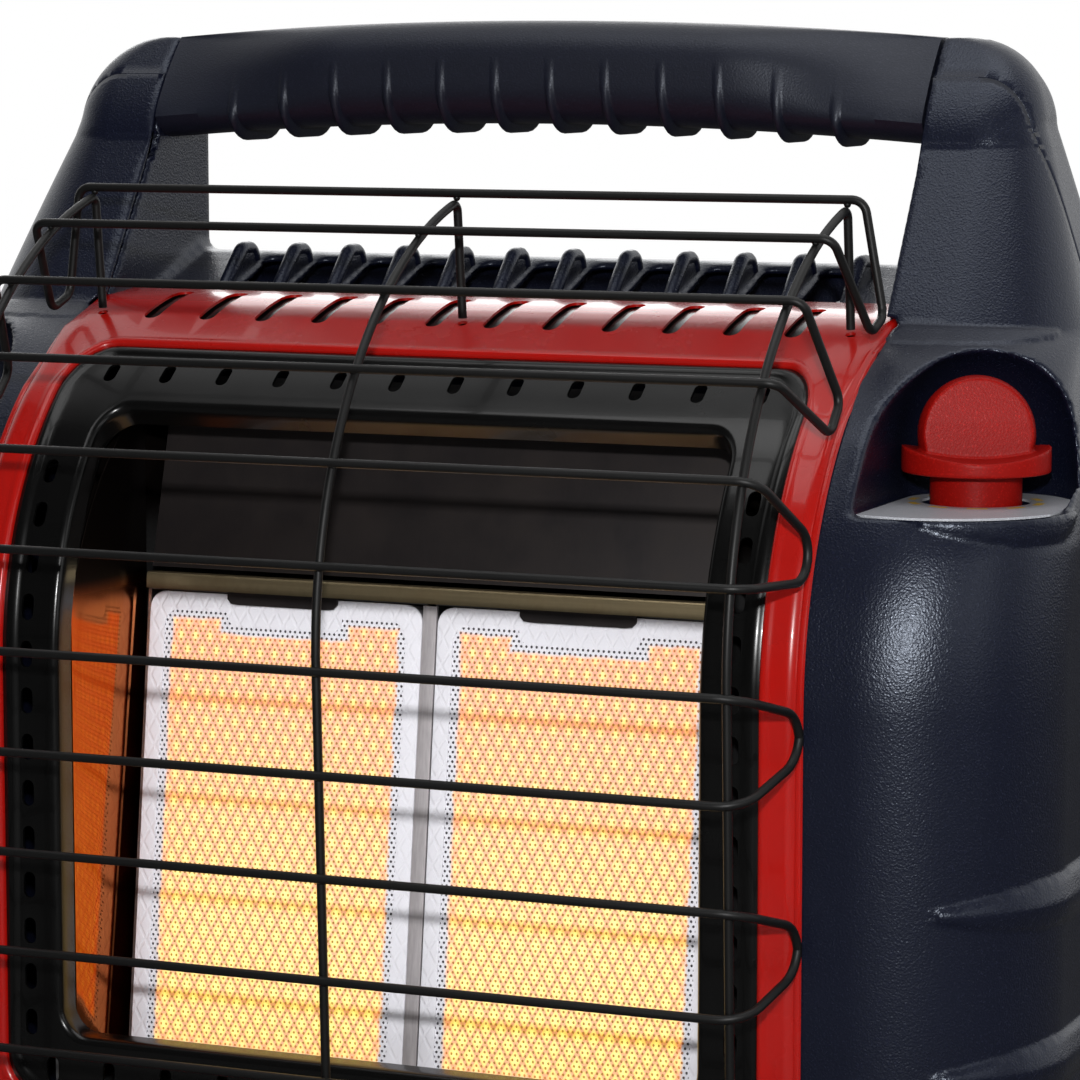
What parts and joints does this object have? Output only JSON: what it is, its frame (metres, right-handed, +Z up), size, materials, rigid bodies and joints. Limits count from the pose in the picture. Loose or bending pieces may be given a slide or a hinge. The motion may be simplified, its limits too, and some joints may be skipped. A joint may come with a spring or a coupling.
{
  "type": "portable propane heater",
  "caption": "Portable infrared gas heater with glowing ceramic tiles behind a curved wire guard, a red bezel, a carrying handle, a control knob and swivel cylinder inlets.",
  "frame": {"origin": "on the floor under the middle of the base", "axes": "X runs left to right seen from the front, +Y to the back, +Z up; the burners face -Y"},
  "size_m": [0.452, 0.25, 0.4304],
  "materials": {
    "casing": "dark navy moulded plastic with a fine grain",
    "handle": "dark navy moulded plastic, satin",
    "base": "charcoal moulded plastic",
    "red_paint": "gloss red enamel",
    "black_enamel": "gloss black enamel",
    "wire_black": "satin black powder coat",
    "steel_sheet": "plain sheet steel",
    "reflector": "polished steel",
    "dark_steel": "heat-darkened black steel",
    "ceramic": "perforated ceramic tile, glowing",
    "strip_steel": "bright steel strip",
    "retainer_brass": "heat-tinted steel, gold brown",
    "brass": "machined brass",
    "copper_line": "drawn copper tube",
    "gas_tube": "bent aluminium tube",
    "die_cast": "die-cast alloy, satin",
    "bright_steel": "zinc-plated steel",
    "red_plastic": "satin red plastic with a fine grain",
    "dial": "grey-blue satin plate with yellow marks",
    "rubber": "black rubber",
    "black_plastic": "black plastic",
    "pale_plastic": "pale moulded plastic",
    "porcelain": "white porcelain on a steel wire",
    "lead": "red silicone insulation"
  },
  "bodies": {
    "heater": {"base_tray": "base", "rubber_feet": "rubber", "rear_shell": "casing", "side_shell_left": "casing", "side_shell_right": "casing", "handle_grip": "handle", "shell_screws": "bright_steel", "front_bezel": "red_paint", "reflector_frame": "black_enamel", "burner_box": "steel_sheet", "side_reflectors": "reflector", "hood_panel": "dark_steel", "tile_left": "ceramic", "tile_right": "ceramic", "tile_divider": "strip_steel", "tile_retainer": "retainer_brass", "tile_clips": "dark_steel", "plenum_left": "steel_sheet", "plenum_right": "steel_sheet", "mixing_tube_left": "gas_tube", "mixing_tube_right": "gas_tube", "gas_jets": "brass", "guard_uprights": "wire_black", "guard_bars_upper": "wire_black", "guard_bars_lower": "wire_black", "valve_body": "die_cast", "stem_spring": "bright_steel", "dial_plate": "dial", "valve_bracket": "bright_steel", "supply_line": "gas_tube", "crossover_line": "gas_tube", "burner_line_left": "gas_tube", "burner_line_right": "gas_tube", "pilot_line": "copper_line", "pilot_burner": "brass", "thermocouple": "copper_line", "spark_electrode": "porcelain", "spark_lead": "lead", "igniter_body": "black_plastic", "igniter_spring": "bright_steel", "igniter_plate": "dial", "swivel_block_left": "die_cast", "swivel_block_right": "die_cast", "swivel_pins": "bright_steel", "tip_switch": "pale_plastic"},
    "thrust": {"thrust_washer": "bright_steel"},
    "knob": {"control_knob": "red_plastic", "valve_stem": "bright_steel"},
    "button": {"igniter_button": "red_plastic"},
    "regulator_r": {"regulator_right": "die_cast", "regulator_cap_right": "black_plastic", "inlet_seal_right": "rubber"},
    "regulator_l": {"regulator_left": "die_cast", "regulator_cap_left": "black_plastic", "inlet_seal_left": "rubber"}
  },
  "joints": [
    {"name": "knob_press", "type": "slide", "parent": "heater", "child": "thrust", "axis": [0, 0, -1], "range_m": [0, 0.004], "stiffness_N_per_m": 1500, "springref_m": -0.003, "deforming": ["stem_spring"]},
    {"name": "knob_turn", "type": "hinge", "parent": "thrust", "child": "knob", "pos_m": [0.186, 0.001, 0.28], "axis": [0, 0, 1], "range_deg": [0, 210]},
    {"name": "igniter_press", "type": "slide", "parent": "heater", "child": "button", "axis": [0, 0, -1], "range_m": [0, 0.006], "stiffness_N_per_m": 900, "springref_m": -0.004, "deforming": ["igniter_spring"]},
    {"name": "regulator_right_swing", "type": "hinge", "parent": "heater", "child": "regulator_r", "pos_m": [0.137, 0.095, 0.243], "axis": [0, 0, 1], "range_deg": [0, 75]},
    {"name": "regulator_left_swing", "type": "hinge", "parent": "heater", "child": "regulator_l", "pos_m": [-0.137, 0.095, 0.243], "axis": [0, 0, -1], "range_deg": [0, 75]}
  ]
}
